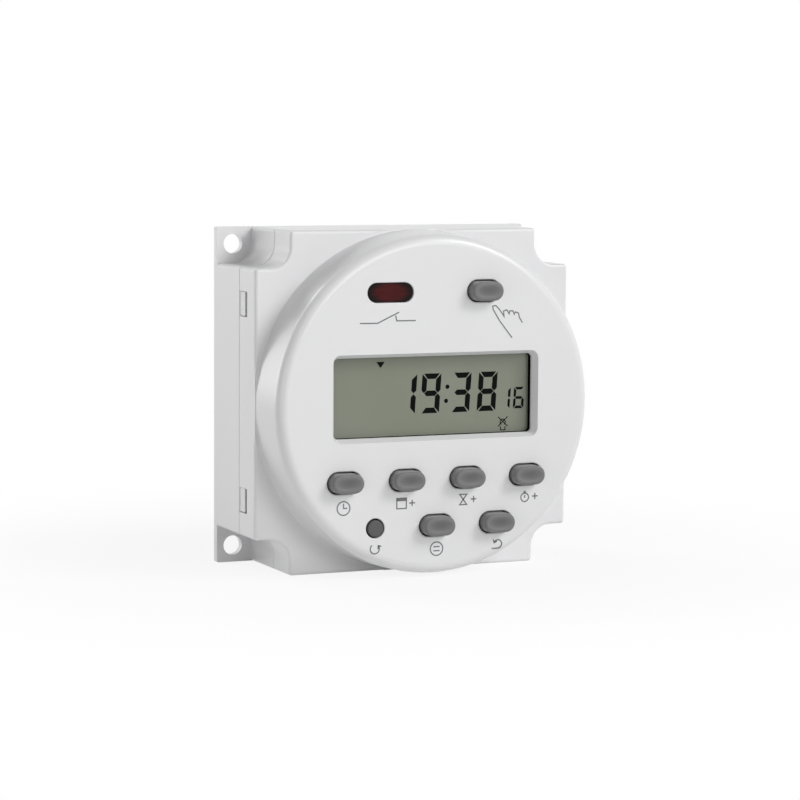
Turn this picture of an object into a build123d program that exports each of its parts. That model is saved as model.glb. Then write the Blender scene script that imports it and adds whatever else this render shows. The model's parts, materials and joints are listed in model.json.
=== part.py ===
from build123d import *
from math import radians, sqrt, tan
import os

# Digital timer switch. Every piece is drawn face up: x to the viewer's right, y up the face and
# z forward from the mounting plane. stand_up then turns it so that the face looks along -Y and
# the top points along +Z. All sizes are millimetres and all depths are heights above the plane
# that the four ears rest on.

# Housing
body_side = 60.0
parting_depth = 12.75
plate_depth = 20.3
face_depth = 30.0
wall = 1.8
plate_thickness = 1.8
face_thickness = 1.8
back_wall = 1.8

# What lies across the face keeps its share of the body's side
across = body_side / 60.0
notch_size = 6.5 * across
notch_round = 3.75 * across
side_corner_round = 0.6
plate_edge_round = 0.55
parting_chamfer = 0.2
bezel_side_inset = 0.1
bezel_draft = 2.8
bezel_edge_round = 1.8
bezel_foot_round = 0.25
bezel_foot_reach = 0.6

# Ears
ear_thickness = 1.5
ear_corner_round = 0.35
ear_hole_pitch = 54.0 * across
ear_hole_diameter = 3.5

# Lip that the cover slides over, and the snap tongues beside it
lip_thickness = 1.0
lip_rise = 1.5
lip_root = 2.0
lip_gap = 0.1
window_height = 4.4
window_depth = 3.75
window_centre = 17.15 * across
tongue_depth = 2.25
tongue_gap = 0.12
tongue_sink = 0.2
tongue_land = 0.25
tongue_lead = 1.05
detent_radius = 0.3
detent_depth = 0.8
detent_gap = 0.05
detent_skin = 0.5

# Display opening
opening_width = 37.7 * across
opening_height = 13.9 * across
opening_centre_y = 1.45 * across
opening_round = 0.8
bevel_width = 0.65
bevel_depth = 1.27

# Top row: indicator lens and manual key
top_row_x = 8.85 * across
top_row_y = 19.6 * across
lens_hole_width = 8.63 * across
lens_hole_height = 3.44 * across
lens_gap = 0.1
lens_sink = 0.25
lens_flange_reach = 0.8
lens_flange_thickness = 0.9
lens_glue_gap = 0.03

# Keys
key_hole_width = 6.45 * across
key_hole_height = 3.9 * across
key_gap = 0.28
key_pitch = 11.5 * across
upper_row_y = -12.87 * across
lower_row_y = -21.0 * across
key_rise = 2.0
key_travel = 0.9
key_edge_round = 0.45
key_dish_depth = 0.26
key_dish_inset = 0.55
key_flange_reach = 0.7
key_flange_thickness = 1.1
key_rest_gap = 0.1
key_stem_inset = 0.7
key_hole_edge_round = 0.2
reset_hole_diameter = 3.45 * across
reset_rise = 0.15
reset_edge_round = 0.25
pill_thickness = 0.4
pill_inset = 0.3
mat_thickness = 1.0
mat_hole_reach = 0.9
mat_margin = 0.8
mat_edge_inset = 0.5
mat_holder_gap = 0.35
mat_round = 1.5
web_thickness = 0.35
web_foot_reach = 0.2

# Display stack, from the face inwards
display_gap = 0.85
polariser_thickness = 0.2
glass_thickness = 1.1
glass_width = opening_width + 3.3
glass_height = opening_height + 4.9
glass_ledge = 2.2
polariser_inset = 0.4
holder_wall = 1.0
holder_gap = 0.15
holder_top_gap = 0.1
holder_window_width = glass_width - 8.0
holder_window_height = glass_height - 7.8
fence_thickness = 0.8
fence_depth = 1.7
strip_width = 1.6
strip_length = glass_width - 3.0
strip_gap = 0.1

# Display board
display_board_drop = 6.0
display_board_thickness = 1.2
display_board_gap = 0.5
upper_boss_x = 19.5 * across
upper_boss_y = 15.5 * across
lower_boss_x = 17.9 * across
lower_boss_y = -18.0 * across
display_boss_radius = 1.9
display_screw_length = 4.0

# Screws
screw_radius = 0.9
screw_head_radius = 1.9
screw_head_height = 1.3
screw_thread_gap = 0.05
screw_hole_gap = 0.25
screw_cross_width = 0.5
screw_cross_length = 2.2
screw_cross_depth = 0.7

# Terminal wells and blades
well_count = 4
well_pitch = 11.0 * across
well_rib = 1.2
well_height = 12.0 * across
well_centre_y = -19.5 * across
well_depth = 8.4
well_floor = 1.2
well_wall = 1.2
well_round = 0.6
blade_width = 6.3
blade_thickness = 0.8
blade_tip_chamfer = 1.0
blade_sink = 0.7
blade_hole_diameter = 1.6
blade_hole_depth = 3.5
blade_slot_gap = 0.1
blade_leg_width = 1.2
blade_leg_spacing = 4.0
blade_leg_end = 1.2

# Power board
power_board_thickness = 1.6
power_board_gap = 0.3
power_boss_x = 17.0 * across
power_boss_y = 23.4 * across
power_boss_radius = 2.4
power_screw_length = 6.0

# Link between the boards
link_x = -25.0 * across
link_y = 1.5 * across
link_count = 5
link_pitch = 2.54
link_pin_size = 0.64
link_pin_end = 0.9
link_hole_radius = 0.5
link_body_width = 2.3
link_body_height = 2.54
link_pin_gap = 0.02

# Parts on the display board
lamp_radius = 1.5
lamp_flange_radius = 1.9
lamp_flange_height = 0.6
lamp_height = 3.1
lamp_dome_share = 0.9
processor_x = 9.0 * across
processor_y = 2.0 * across
processor_radius = 6.5
processor_height = 1.4
processor_edge_share = 0.9
crystal_x = -10.0 * across
crystal_y = -15.5 * across
crystal_radius = 1.0
crystal_round = 0.3
crystal_length = 6.0
crystal_gap = 0.05
cell_x = 9.5 * across
cell_y = -12.5 * across
cell_radius = 5.8
cell_height = 3.2
cell_round = 0.5
tab_thickness = 0.3
tab_width = 3.0
tab_reach = 2.5
tab_overlap = 4.0

# Parts on the power board
capacitor_top_gap = 1.6
film_capacitor_x = 9.0 * across
film_capacitor_y = 16.5 * across
film_capacitor_length = 18.0
film_capacitor_width = 6.0
film_capacitor_round = 0.8
filter_capacitor_x = -14.5 * across
filter_capacitor_y = 13.5 * across
filter_capacitor_radius = 4.0
filter_capacitor_groove = 0.35
filter_groove_height = 2.4
filter_groove_half = 0.4
filter_capacitor_round = 0.6
diode_x = 6.0 * across
diode_y = -3.5 * across
diode_pitch_x = 5.5
diode_pitch_y = 5.0
diode_length = 4.3
diode_width = 2.6
diode_height = 2.2
diode_taper = 8.0
resistor_x = 17.5 * across
resistor_y = -5.0 * across
resistor_pitch_x = 4.6
resistor_pitch_y = 3.0
resistor_length = 3.2
resistor_width = 1.6
resistor_height = 0.6
varistor_x = 17.5 * across
varistor_y = 5.5 * across
varistor_top_gap = 2.9
varistor_thickness = 3.4
varistor_edge_round = 1.0
varistor_gap = 0.3
lead_radius = 0.35
lead_spacing = 5.0
lead_end = 1.0
fuse_x = 12.0 * across
fuse_y = 0.5 * across
fuse_radius = 4.2
fuse_height = 7.0
fuse_round = 0.5

# Relay, placed by the middle of its footprint on the power board
relay_x = -11.0 * across
relay_y = -2.6 * across
relay_length = 22.0
relay_width = 16.0
relay_top_gap = 0.6
relay_wall = 0.8
relay_round = 0.8
relay_gap = 0.05
relay_base_thickness = 1.2
coil_axis_y = 0.6
coil_start_x = -8.8
coil_end_x = 5.2
coil_base_gap = 0.75
coil_side_gap = 0.3
bobbin_flange_width = 8.0
bobbin_flange_thickness = 0.7
bobbin_top_gap = 1.3
tube_share = 0.6
core_share = 0.4
pole_share = 0.7
pole_thickness = 0.8
iron_thickness = 1.2
iron_base_gap = 1.0
iron_top_gap = 1.8
yoke_side_gap = 0.8
armature_thickness = 1.0
armature_gap = 0.05
armature_tip_gap = 0.2
armature_overhang = 0.5
armature_swing = 4.0
contact_spring_thickness = 0.2
contact_spring_width = 4.0
contact_spring_foot = 4.5
contact_radius = 1.2
contact_wall_gap = 1.5
moving_button_height = 0.8
fixed_button_height = 0.5
fixed_blade_thickness = 0.4
fixed_blade_width = 2.1
fixed_blade_rise = 1.8
relay_pin_size = 0.6
relay_pin_x = 7.0
relay_pin_wall_gap = 1.0
relay_pin_top = 2.0
relay_pin_end = 1.0

# Depths that several pieces share
face_back = face_depth - face_thickness
plate_back = plate_depth - plate_thickness
bezel_base_radius = body_side / 2 - bezel_side_inset
bezel_face_radius = bezel_base_radius - (face_depth - plate_depth) * tan(radians(bezel_draft))
bezel_cavity_radius = bezel_face_radius - wall
display_board_front = face_depth - display_board_drop
flange_top = face_back - key_rest_gap
flange_bottom = flange_top - key_flange_thickness
mat_top = display_board_front + mat_thickness
pill_bottom = display_board_front + key_travel
stem_bottom = pill_bottom + pill_thickness
display_board_back = display_board_front - display_board_thickness
power_board_back = well_depth + well_floor
power_board_front = power_board_back + power_board_thickness
front_glass_front = face_back - display_gap - polariser_thickness
front_glass_back = front_glass_front - glass_thickness
rear_glass_back = front_glass_back - glass_thickness
reflector_back = rear_glass_back - polariser_thickness
lip_inset = wall + lip_gap + lip_thickness
opening_middle = Pos(0, opening_centre_y, 0)
lens_place = Pos(-top_row_x, top_row_y, 0)
outer_key_x = 1.5 * key_pitch
inner_key_x = 0.5 * key_pitch

# Heights of the parts between the two boards
board_space = display_board_back - power_board_front
capacitor_height = board_space - capacitor_top_gap
varistor_radius = (board_space - varistor_gap - varistor_top_gap) / 2

# Relay sizes that follow from its case
relay_height = board_space - relay_top_gap
coil_axis_height = (relay_height + relay_base_thickness - relay_wall) / 2 - relay_gap
coil_room_below = coil_axis_height - relay_base_thickness - coil_base_gap
coil_radius = min(coil_room_below, bobbin_flange_width / 2 - coil_side_gap)
bobbin_flange_top = relay_height - bobbin_top_gap
bobbin_tube_radius = coil_radius * tube_share
core_radius = coil_radius * core_share
pole_radius = coil_radius * pole_share
iron_low = relay_base_thickness + iron_base_gap
iron_high = relay_height - iron_top_gap
fixed_blade_top = coil_axis_height + fixed_blade_rise
contact_y = relay_width / 2 - relay_wall - contact_wall_gap
contact_spring_tip = contact_y + contact_radius
relay_pin_y = relay_width / 2 - relay_wall - relay_pin_wall_gap

# Where each oval key stands on the face
oval_keys = {
    "manual_key": (top_row_x, top_row_y),
    "clock_key": (-outer_key_x, upper_row_y),
    "day_key": (-inner_key_x, upper_row_y),
    "hour_key": (inner_key_x, upper_row_y),
    "minute_key": (outer_key_x, upper_row_y),
    "program_key": (0.0, lower_row_y),
    "recall_key": (key_pitch, lower_row_y),
}
reset_place = (-key_pitch, lower_row_y)

# The screws that hold the display board, seen from the front
display_boss_places = [
    (-upper_boss_x, upper_boss_y),
    (upper_boss_x, upper_boss_y),
    (-lower_boss_x, lower_boss_y),
    (lower_boss_x, lower_boss_y),
]
power_boss_places = [(-power_boss_x, power_boss_y), (power_boss_x, power_boss_y)]
well_places = [(well_pitch * (i - (well_count - 1) / 2), well_centre_y) for i in range(well_count)]
link_places = [(link_x, link_y + link_pitch * (i - (link_count - 1) / 2)) for i in range(link_count)]


def slab(sketch, low, high):
    """Straight prism of a flat outline between two depths."""
    return Pos(0, 0, low) * extrude(sketch, amount=high - low)


def at_each(places, shape):
    """Copies of one shape at a list of x, y places."""
    return [Pos(x, y, 0) * shape for x, y in places]


def oval(width, height, grow=0.0):
    """Stadium outline, grown by the same amount all round."""
    return SlotOverall(width + 2 * grow, height + 2 * grow)


def body_outline(inset):
    """Outline of the square body with a round-bottomed notch at each corner, moved inwards."""
    side = body_side - 2 * inset
    reach = 2 * (notch_size + inset)
    notch = RectangleRounded(reach, reach, notch_round + inset)
    outline = Rectangle(side, side)
    for corner in GridLocations(body_side, body_side, 2, 2):
        outline -= corner * notch
    return outline


def outer_outline():
    """Body outline with its eight sharp corners broken, as the moulded walls have."""
    outline = body_outline(0)
    edge = body_side / 2
    sharp = outline.vertices().filter_by(lambda v: max(abs(v.X), abs(v.Y)) > edge - 0.01)
    return fillet(sharp, side_corner_round)


def turned(points, rounds):
    """Solid of revolution about z from (radius, depth) points, with some corners rounded."""
    profile = make_face(Polyline(*points, close=True))
    for (radius, depth), size in rounds:
        corner = profile.vertices().sort_by_distance((radius, depth, 0))[0]
        profile = fillet(corner, size)
    return revolve(Plane.XZ * profile, Axis.Z)


def bezel():
    """Round front with a drafted side, a rounded rim and a small fillet where it meets the plate."""
    foot_radius = bezel_base_radius + bezel_foot_reach
    root_depth = plate_depth - plate_edge_round
    solid = turned(
        [
            (0, root_depth),
            (foot_radius, root_depth),
            (foot_radius, plate_depth),
            (bezel_base_radius, plate_depth),
            (bezel_face_radius, face_depth),
            (0, face_depth),
        ],
        [
            ((bezel_base_radius, plate_depth), bezel_foot_round),
            ((bezel_face_radius, face_depth), bezel_edge_round),
        ],
    )
    return solid & slab(outer_outline(), root_depth, face_depth)


def display_cutout():
    """Bevelled opening: a tapered mouth at the face and a straight throat behind it."""
    throat = RectangleRounded(opening_width, opening_height, opening_round)
    mouth = RectangleRounded(
        opening_width + 2 * bevel_width, opening_height + 2 * bevel_width, opening_round + bevel_width
    )
    taper_start = Pos(0, 0, face_depth - bevel_depth)
    cut = loft([taper_start * throat, Pos(0, 0, face_depth) * mouth])
    return opening_middle * (cut + slab(throat, face_back, face_depth - bevel_depth))


def window_cuts():
    """The four openings in the cover's side walls, open to the parting line, with snap grooves
    that stop short of the outside."""
    cut_depth = wall + lip_gap
    block = Box(cut_depth, window_height, window_depth, align=(Align.MAX, Align.CENTER, Align.MIN))
    groove = Cylinder(detent_radius + detent_gap, cut_depth - detent_skin, rotation=(0, 90, 0))
    groove_x = -(cut_depth + detent_skin) / 2
    for side in (-1, 1):
        block += Pos(groove_x, side * window_height / 2, detent_depth) * groove
    return four_sided(Pos(body_side / 2, 0, parting_depth) * block)


def four_sided(shape):
    """A shape on the right side wall, repeated above, below and on the left wall."""
    right = [Pos(0, side * window_centre, 0) * shape for side in (-1, 1)]
    left = [Rot(0, 0, 180) * piece for piece in right]
    return right + left


def snap_tongue():
    """Tongue on the rear case's rim that fills the back of one window, with a sloping lead-in on
    its inner side and a ridge each side."""
    thickness = wall - tongue_sink
    profile = Polyline(
        (0, 0),
        (0, tongue_depth),
        (-tongue_land, tongue_depth),
        (-thickness, tongue_depth - tongue_lead),
        (-thickness, 0),
        close=True,
    )
    half_height = window_height / 2 - tongue_gap
    tongue = extrude(Plane.XZ * make_face(profile), amount=half_height, both=True)
    ridge_start = detent_skin + detent_gap - tongue_sink
    ridge = Cylinder(detent_radius, thickness - ridge_start, rotation=(0, 90, 0))
    ridge_x = -(thickness + ridge_start) / 2
    for side in (-1, 1):
        tongue += Pos(ridge_x, side * window_height / 2, detent_depth) * ridge
    return Pos(body_side / 2 - tongue_sink, 0, parting_depth) * tongue


def front_cover():
    skirt = slab(outer_outline(), parting_depth, plate_depth)
    skirt = fillet(skirt.faces().sort_by(Axis.Z)[-1].outer_wire().edges(), plate_edge_round)
    skirt = chamfer(skirt.faces().sort_by(Axis.Z)[0].outer_wire().edges(), parting_chamfer)
    cover = skirt + bezel()
    cover -= slab(body_outline(wall), parting_depth, plate_back)
    cover -= slab(Circle(bezel_cavity_radius), plate_back, face_back)
    for x, y in display_boss_places:
        boss = Circle(display_boss_radius) - Circle(screw_radius + screw_thread_gap)
        cover += Pos(x, y, 0) * slab(boss, display_board_front, face_back)
    for side in (-1, 1):
        cover += Pos(side * fence_x(), opening_centre_y, 0) * slab(
            Rectangle(fence_thickness, holder_height()), face_back - fence_depth, face_back
        )
    cover -= display_cutout()
    hole = slab(oval(key_hole_width, key_hole_height), face_back, face_depth)
    cover -= at_each(oval_keys.values(), hole)
    cover -= at_each([reset_place], slab(Circle(reset_hole_diameter / 2), face_back, face_depth))
    cover -= lens_place * slab(oval(lens_hole_width, lens_hole_height), face_back, face_depth)
    cover -= window_cuts()
    return fillet(opening_rims(cover), key_hole_edge_round)


def opening_rims(cover):
    """Edges where the key, reset and lens openings meet the face."""
    face = cover.faces().filter_by(Plane.XY).sort_by(Axis.Z)[-1]
    rims = [wire for wire in face.inner_wires() if wire.bounding_box().size.X < opening_width / 2]
    return [edge for wire in rims for edge in wire.edges()]


def fence_x():
    """Middle of the rib that stops the display holder from sliding sideways."""
    return glass_width / 2 + holder_gap + holder_wall + holder_gap + fence_thickness / 2


def holder_height():
    return glass_height + 2 * (holder_gap + holder_wall)


def rear_case():
    case = slab(outer_outline(), 0, parting_depth)
    case = chamfer(case.faces().sort_by(Axis.Z)[-1].outer_wire().edges(), parting_chamfer)
    case += slab(RectangleRounded(body_side, body_side, ear_corner_round), 0, ear_thickness)
    case -= slab(body_outline(wall), back_wall, parting_depth)
    case += terminal_block()
    case -= at_each(well_places, well_cut())
    boss = Circle(power_boss_radius) - Circle(screw_radius + screw_thread_gap)
    case += at_each(power_boss_places, slab(boss, back_wall, power_board_back))
    root = body_outline(wall) - body_outline(lip_inset)
    case += slab(root, parting_depth - lip_root, parting_depth)
    lip = body_outline(wall + lip_gap) - body_outline(lip_inset)
    case += slab(lip, parting_depth - lip_root, parting_depth + lip_rise)
    case += four_sided(snap_tongue())
    for corner in GridLocations(ear_hole_pitch, ear_hole_pitch, 2, 2):
        case -= corner * slab(Circle(ear_hole_diameter / 2), 0, ear_thickness)
    return case


def terminal_block():
    """The raised block inside the case that the four terminal wells are sunk into."""
    width = well_count * well_pitch + 2 * well_wall
    top = well_centre_y + well_height / 2 + well_wall
    bottom = -body_side / 2 + wall
    block = Pos(0, (top + bottom) / 2, 0) * Rectangle(width, top - bottom)
    return slab(block, 0, power_board_back) & slab(body_outline(0), 0, power_board_back)


def well_cut():
    """One open terminal well and the slot in its floor for the blade."""
    mouth = RectangleRounded(well_pitch - well_rib, well_height, well_round)
    slot = Rectangle(blade_thickness + 2 * blade_slot_gap, blade_width + 2 * blade_slot_gap)
    return slab(mouth, 0, well_depth) + slab(slot, well_depth, power_board_back)


def oval_key(width, height):
    """Key of the keypad: a cap with a dished top, a flange behind the face and a short stem."""
    key_top = face_depth + key_rise
    cap = slab(oval(width, height), flange_bottom, key_top)
    cap = fillet(cap.edges().group_by(Axis.Z)[-1], key_edge_round)
    cap -= key_dish(width, height, key_top)
    cap += slab(oval(width, height, key_flange_reach), flange_bottom, flange_top)
    return cap + slab(oval(width, height, -key_stem_inset), stem_bottom, flange_bottom)


def key_dish(width, height, key_top):
    """Shallow finger dish with an elliptic rim: a spindle that lies along x above the key, turned
    from an arc whose belly dips below the key's top."""
    half_length = width / 2 - key_dish_inset
    half_height = height / 2 - key_dish_inset
    arc_radius = (half_length**2 + key_dish_depth**2) / (2 * key_dish_depth)
    belly_radius = (half_height**2 + key_dish_depth**2) / (2 * key_dish_depth)
    half_spindle = sqrt(belly_radius * (2 * arc_radius - belly_radius))
    arc = ThreePointArc((-half_spindle, 0), (0, -belly_radius), (half_spindle, 0))
    profile = make_face(arc + Line((half_spindle, 0), (-half_spindle, 0)))
    spindle = revolve(Plane.XZ * profile, Axis.X)
    return Pos(0, 0, key_top - key_dish_depth + belly_radius) * spindle


def reset_key():
    """Small round reset button, nearly level with the face so that nothing presses it by chance."""
    radius = reset_hole_diameter / 2 - key_gap
    top = face_depth + reset_rise
    button = slab(Circle(radius), flange_bottom, top)
    button = fillet(button.edges().group_by(Axis.Z)[-1], reset_edge_round)
    button += slab(Circle(radius + key_flange_reach), flange_bottom, flange_top)
    return button + slab(Circle(radius - pill_inset), stem_bottom, flange_bottom)


def key_web(outline):
    """Thin sloping skirt that springs one key up from the mat. outline(grow) is the key's shape."""
    foot = mat_hole_reach + web_foot_reach
    top = key_flange_reach - web_thickness

    def cone(low, high):
        return loft([Pos(0, 0, mat_top) * outline(low), Pos(0, 0, flange_bottom) * outline(high)])

    return cone(foot, top) - cone(foot - web_thickness, top - web_thickness)


def keypad():
    """Both mats, every key, its web and its carbon pill, by node name."""
    width = key_hole_width - 2 * key_gap
    height = key_hole_height - 2 * key_gap
    reset_radius = reset_hole_diameter / 2 - key_gap
    nodes = {}
    webs = []
    cap = oval_key(width, height)
    web = key_web(lambda grow: oval(width, height, grow))
    pill = slab(oval(width, height, -key_stem_inset - pill_inset), pill_bottom, stem_bottom)
    for name, (x, y) in oval_keys.items():
        nodes[name] = Pos(x, y, 0) * cap
        nodes[f"{name}_pill"] = Pos(x, y, 0) * pill
        webs.append(Pos(x, y, 0) * web)
    reset_at = Pos(*reset_place, 0)
    nodes["reset_key"] = reset_at * reset_key()
    reset_pill = Circle(reset_radius - 2 * pill_inset)
    nodes["reset_key_pill"] = reset_at * slab(reset_pill, pill_bottom, stem_bottom)
    webs.append(reset_at * key_web(lambda grow: Circle(reset_radius + grow)))
    nodes["key_webs"] = webs
    nodes.update(keypad_mats(width, height, reset_radius))
    return nodes


def keypad_mats(width, height, reset_radius):
    """The silicone sheets that lie on the display board, with a well under each key."""
    well = oval(width, height, mat_hole_reach)
    margin = mat_hole_reach + mat_margin
    mat_high = opening_centre_y - holder_height() / 2 - mat_holder_gap
    mat_low = lower_row_y - height / 2 - margin
    mat_width = 2 * (outer_key_x + width / 2 + margin)
    lower = Rectangle(mat_width, mat_high - mat_low)
    lower = Pos(0, (mat_high + mat_low) / 2, 0) * lower
    lower &= Circle(bezel_cavity_radius - display_board_gap - mat_edge_inset)
    for name, (x, y) in oval_keys.items():
        if name != "manual_key":
            lower -= Pos(x, y, 0) * well
    lower -= Pos(*reset_place, 0) * Circle(reset_radius + mat_hole_reach)
    for x, y in display_boss_places:
        lower -= Pos(x, y, 0) * Circle(display_boss_radius + mat_edge_inset)
    upper = RectangleRounded(width + 2 * margin, height + 2 * margin, mat_round) - well
    return {
        "keypad_mat": slab(lower, display_board_front, mat_top),
        "manual_key_mat": Pos(top_row_x, top_row_y, 0) * slab(upper, display_board_front, mat_top),
    }


def display_nodes():
    """Liquid crystal display, its holder and the two rubber strips that feed it."""
    front = Rectangle(glass_width, glass_height)
    rear = Rectangle(glass_width, glass_height - 2 * glass_ledge)
    trim = 2 * polariser_inset
    front_film = Rectangle(glass_width - trim, glass_height - trim)
    rear_film = Rectangle(glass_width - trim, glass_height - 2 * glass_ledge - trim)
    strip_y = glass_height / 2 - glass_ledge / 2
    strip = slab(Rectangle(strip_length, strip_width), display_board_front, front_glass_back)
    nodes = {
        "display_front_polariser": slab(front_film, front_glass_front, face_back - display_gap),
        "display_front_glass": slab(front, front_glass_back, front_glass_front),
        "display_rear_glass": slab(rear, rear_glass_back, front_glass_back),
        "display_reflector": slab(rear_film, reflector_back, rear_glass_back),
        "display_holder": display_holder(strip_y),
        "contact_strips": [Pos(0, strip_y, 0) * strip, Pos(0, -strip_y, 0) * strip],
    }
    return {name: moved(shape, opening_middle) for name, shape in nodes.items()}


def display_holder(strip_y):
    """Frame that carries the glass above the board and reaches up to the back of the face, with
    slots for the contact strips."""
    outline = RectangleRounded(
        glass_width + 2 * (holder_gap + holder_wall), holder_height(), holder_wall
    )
    holder = slab(outline, display_board_front, face_back - holder_top_gap)
    pocket = Rectangle(glass_width + 2 * holder_gap, glass_height + 2 * holder_gap)
    holder -= slab(pocket, reflector_back, face_back)
    window = Rectangle(holder_window_width, holder_window_height)
    holder -= slab(window, display_board_front, reflector_back)
    slot = Rectangle(strip_length + 2 * strip_gap, strip_width + 2 * strip_gap)
    for side in (-1, 1):
        holder -= Pos(0, side * strip_y, 0) * slab(slot, display_board_front, reflector_back)
    return holder


def moved(shape, place):
    """Move one solid or each of a list of solids."""
    if isinstance(shape, list):
        return [place * piece for piece in shape]
    return place * shape


def indicator_nodes():
    """Red lens glued into its opening and the lamp that stands behind it."""
    plug = slab(oval(lens_hole_width, lens_hole_height, -lens_gap), face_back, face_depth - lens_sink)
    flange_front = face_back - lens_glue_gap
    flange_back = flange_front - lens_flange_thickness
    lens = plug + slab(oval(lens_hole_width, lens_hole_height, -lens_gap), flange_back, face_back)
    lens += slab(oval(lens_hole_width, lens_hole_height, lens_flange_reach), flange_back, flange_front)
    lamp_top = display_board_front + lamp_height
    lamp = turned(
        [
            (0, display_board_front),
            (lamp_flange_radius, display_board_front),
            (lamp_flange_radius, display_board_front + lamp_flange_height),
            (lamp_radius, display_board_front + lamp_flange_height),
            (lamp_radius, lamp_top),
            (0, lamp_top),
        ],
        [((lamp_radius, lamp_top), lamp_radius * lamp_dome_share)],
    )
    return {"indicator_lens": lens_place * lens, "indicator_lamp": lens_place * lamp}


def screw(length):
    """Self-tapping screw along z with its pan head below zero and a cross recess in the head."""
    shank = Cylinder(screw_radius, length, align=(Align.CENTER, Align.CENTER, Align.MIN))
    head = Cylinder(
        screw_head_radius, screw_head_height, align=(Align.CENTER, Align.CENTER, Align.MAX)
    )
    head = fillet(head.edges().group_by(Axis.Z)[0], screw_head_height / 2)
    bar = slab(Rectangle(screw_cross_length, screw_cross_width), 0, screw_cross_depth)
    recess_at = Pos(0, 0, -screw_head_height)
    return shank + head - recess_at * bar - recess_at * Rot(0, 0, 90) * bar


def display_board_nodes():
    """Board behind the display with the parts that it carries."""
    board = Circle(bezel_cavity_radius - display_board_gap)
    for x, y in display_boss_places:
        board -= Pos(x, y, 0) * Circle(screw_radius + screw_hole_gap)
    for x, y in link_places:
        board -= Pos(x, y, 0) * Circle(link_hole_radius)
    back = display_board_back
    screws = at_each(display_boss_places, Pos(0, 0, back) * screw(display_screw_length))
    cap = turned(
        [
            (0, back - processor_height),
            (processor_radius, back - processor_height),
            (processor_radius, back),
            (0, back),
        ],
        [((processor_radius, back - processor_height), processor_height * processor_edge_share)],
    )
    can = Cylinder(crystal_radius, crystal_length, rotation=(0, 90, 0))
    can = fillet(can.edges(), crystal_round)
    crystal_depth = back - crystal_gap - crystal_radius
    return {
        "display_board": slab(board, back, display_board_front),
        "display_board_screws": screws,
        "processor_cap": Pos(processor_x, processor_y, 0) * cap,
        "clock_crystal": Pos(crystal_x, crystal_y, crystal_depth) * can,
        **backup_cell_nodes(),
    }


def backup_cell_nodes():
    """Round cell that keeps the clock going, held between two welded tabs."""
    tab_back = display_board_back - tab_thickness
    cell_back = tab_back - cell_height
    cell = slab(Circle(cell_radius), cell_back, tab_back)
    cell = fillet(cell.edges(), cell_round)
    near = Pos(-tab_reach / 2, 0, 0) * Rectangle(tab_overlap + tab_reach, tab_width)
    inner_tab = Pos(-cell_radius + tab_overlap / 2, 0, 0) * slab(near, tab_back, display_board_back)
    arm = Pos(tab_reach / 2, 0, 0) * Rectangle(tab_overlap + tab_reach, tab_width)
    outer = slab(arm, cell_back - tab_thickness, cell_back)
    riser_x = (tab_overlap / 2 + tab_reach) - tab_thickness / 2
    riser = Pos(riser_x, 0, 0) * Rectangle(tab_thickness, tab_width)
    outer += slab(riser, cell_back - tab_thickness, display_board_back)
    outer_tab = Pos(cell_radius - tab_overlap / 2, 0, 0) * outer
    place = Pos(cell_x, cell_y, 0)
    return {"backup_cell": place * cell, "cell_tabs": [place * inner_tab, place * outer_tab]}


def link_nodes():
    """Row of square pins between the two boards, with the bar that spaces them."""
    pin = Rectangle(link_pin_size, link_pin_size)
    low = power_board_back - link_pin_end
    high = display_board_front + link_pin_end
    hole = Rectangle(link_pin_size + 2 * link_pin_gap, link_pin_size + 2 * link_pin_gap)
    bar = Pos(link_x, link_y, 0) * Rectangle(link_body_width, link_count * link_pitch)
    for x, y in link_places:
        bar -= Pos(x, y, 0) * hole
    return {
        "board_link_bar": slab(bar, power_board_front, power_board_front + link_body_height),
        "board_link_pins": at_each(link_places, slab(pin, low, high)),
    }


def terminal_blade():
    """Flat push-on blade with a chamfered tip, a latch hole and two solder legs."""
    half = blade_width / 2
    tip = blade_sink
    outline = Polyline(
        (-half, power_board_back),
        (-half, tip + blade_tip_chamfer),
        (-half + blade_tip_chamfer, tip),
        (half - blade_tip_chamfer, tip),
        (half, tip + blade_tip_chamfer),
        (half, power_board_back),
        close=True,
    )
    flat = make_face(outline) - Pos(0, tip + blade_hole_depth) * Circle(blade_hole_diameter / 2)
    for side in (-1, 1):
        leg_top = power_board_front + blade_leg_end
        leg = Rectangle(blade_leg_width, leg_top - power_board_back, align=(Align.CENTER, Align.MIN))
        flat += Pos(side * blade_leg_spacing / 2, power_board_back) * leg
    upright = extrude(flat, amount=blade_thickness / 2, both=True)
    return Plane.YZ.location * upright


def power_board():
    board = body_outline(lip_inset + power_board_gap)
    for x, y in power_boss_places:
        board -= Pos(x, y, 0) * Circle(screw_radius + screw_hole_gap)
    for x, y in link_places:
        board -= Pos(x, y, 0) * Circle(link_hole_radius)
    slot = Rectangle(blade_thickness + 2 * blade_slot_gap, blade_leg_width + 2 * blade_slot_gap)
    for x, y in well_places:
        for side in (-1, 1):
            board -= Pos(x, y + side * blade_leg_spacing / 2, 0) * slot
    pin_hole = Circle(relay_pin_size)
    for x, y in relay_pin_places():
        board -= Pos(relay_x + x, relay_y + y, 0) * pin_hole
    board -= Pos(relay_x, relay_y, 0) * fixed_blade_outline(blade_slot_gap)
    for x, y in lead_places(varistor_x, varistor_y):
        board -= Pos(x, y, 0) * Circle(lead_radius + blade_slot_gap)
    return slab(board, power_board_back, power_board_front)


def lead_places(x, y):
    """The two lead holes of a disc that stands across x."""
    return [(x, y - lead_spacing / 2), (x, y + lead_spacing / 2)]


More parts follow.
